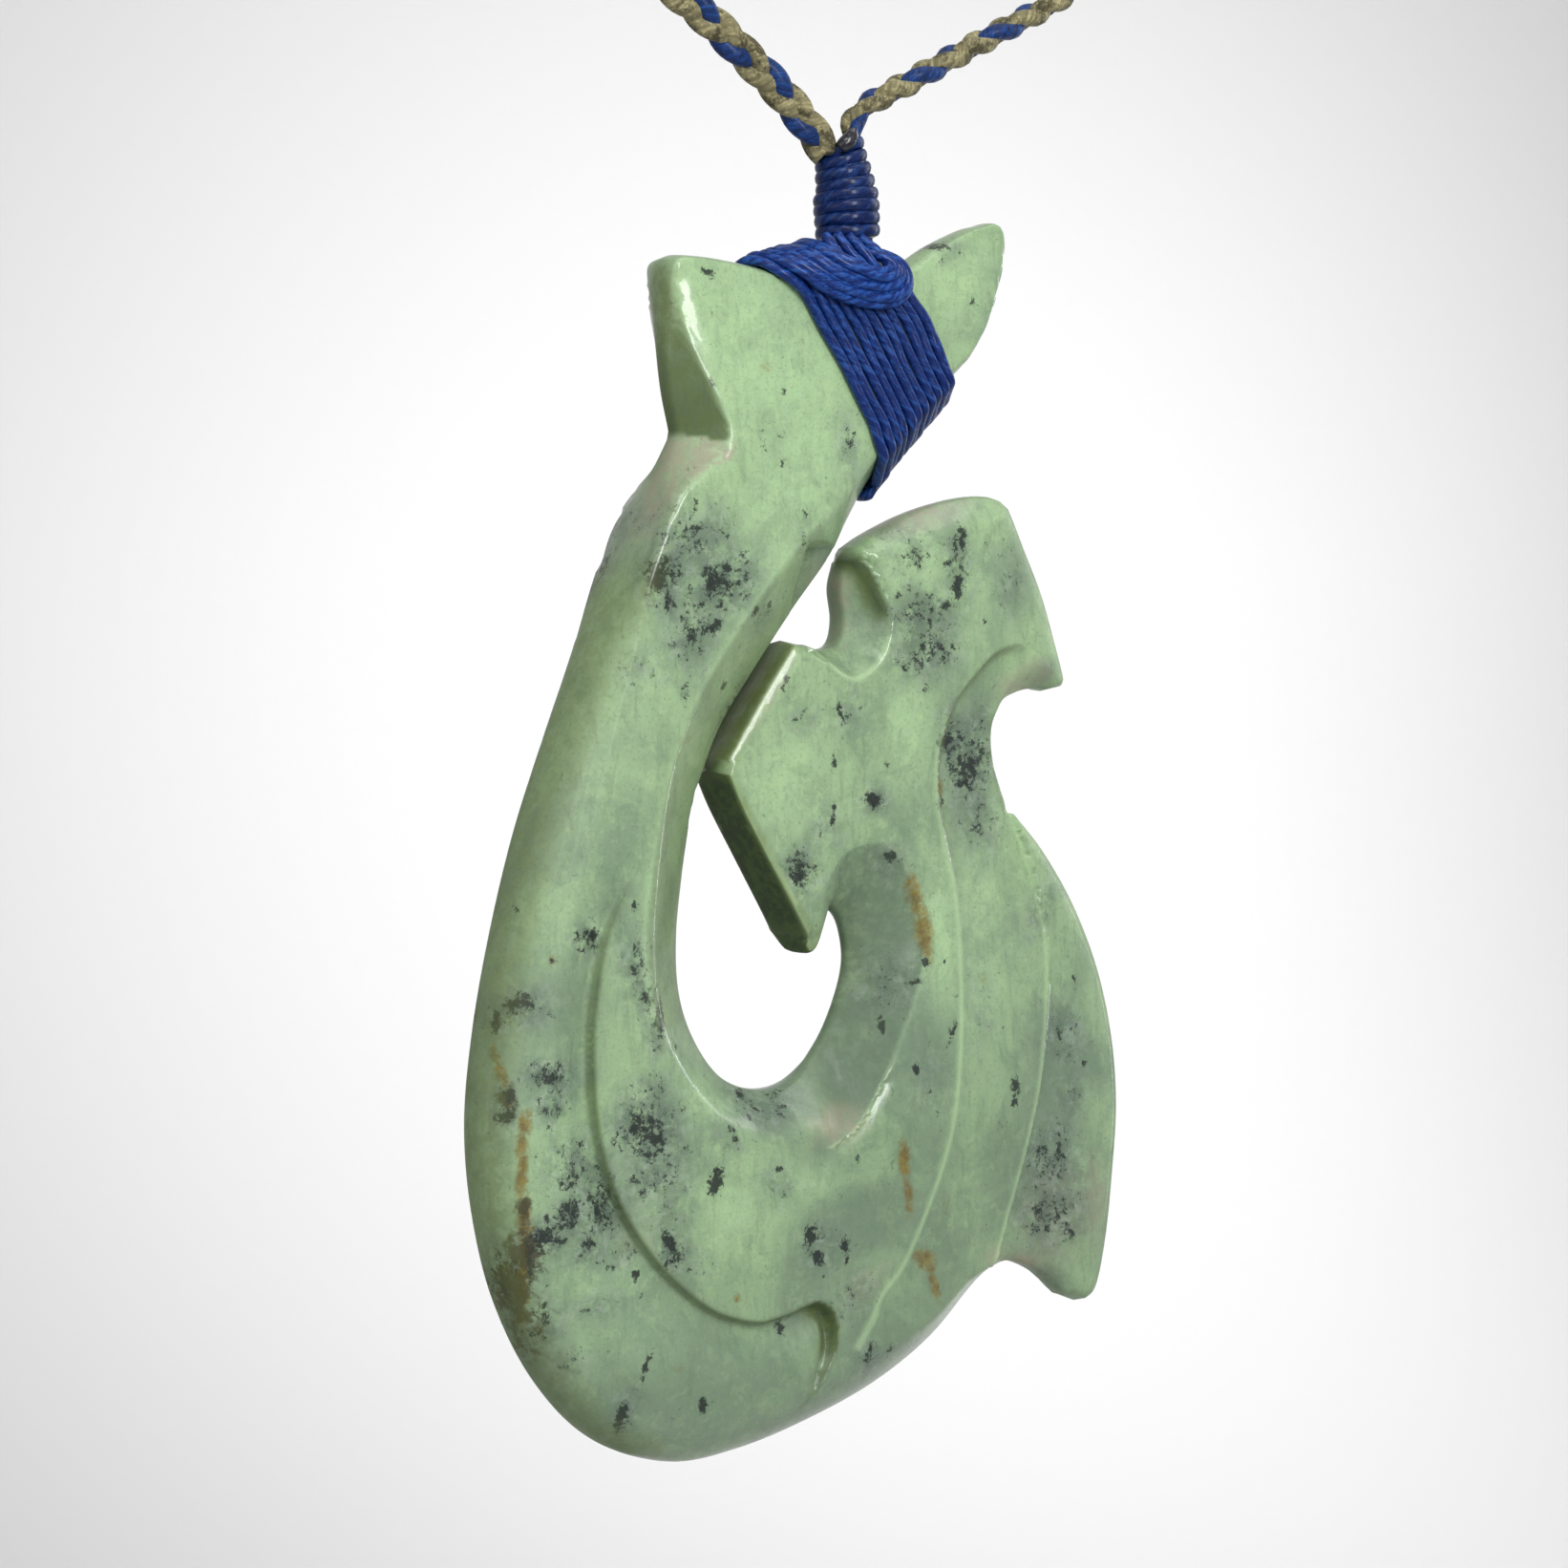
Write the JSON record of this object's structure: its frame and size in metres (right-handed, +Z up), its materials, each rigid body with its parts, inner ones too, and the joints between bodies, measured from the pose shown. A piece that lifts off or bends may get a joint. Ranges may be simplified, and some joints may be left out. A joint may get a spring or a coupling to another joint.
{
  "type": "jade fish-hook pendant on a plaited neck cord",
  "caption": "Carved pale green jade pendant shaped as a fish hook that ends in a hammerhead shark, lashed with blue thread to a plaited neck cord.",
  "frame": {"origin": "inner side of the cord loop at its top, where the loop lies on the back of a neck", "axes": "+Z up along the hanging pendant, +X to the side that the shark's fin is on, -Y to the carved front"},
  "size_m": [0.1496, 0.0092, 0.2036],
  "materials": {
    "jade": "polished, mottled pale green with black and rust flecks",
    "waxed_thread": "waxed royal blue thread, laid in close turns",
    "sealed_thread": "melted and sealed, near black",
    "plaited_cord": "three-strand plait, two tan strands and a blue one"
  },
  "bodies": {
    "root": {"shark_hook": "jade", "tail_lashing": "waxed_thread", "crossing_turns": "waxed_thread", "cord_whipping": "waxed_thread", "thread_end": "sealed_thread", "neck_cord": "plaited_cord"}
  },
  "joints": []
}
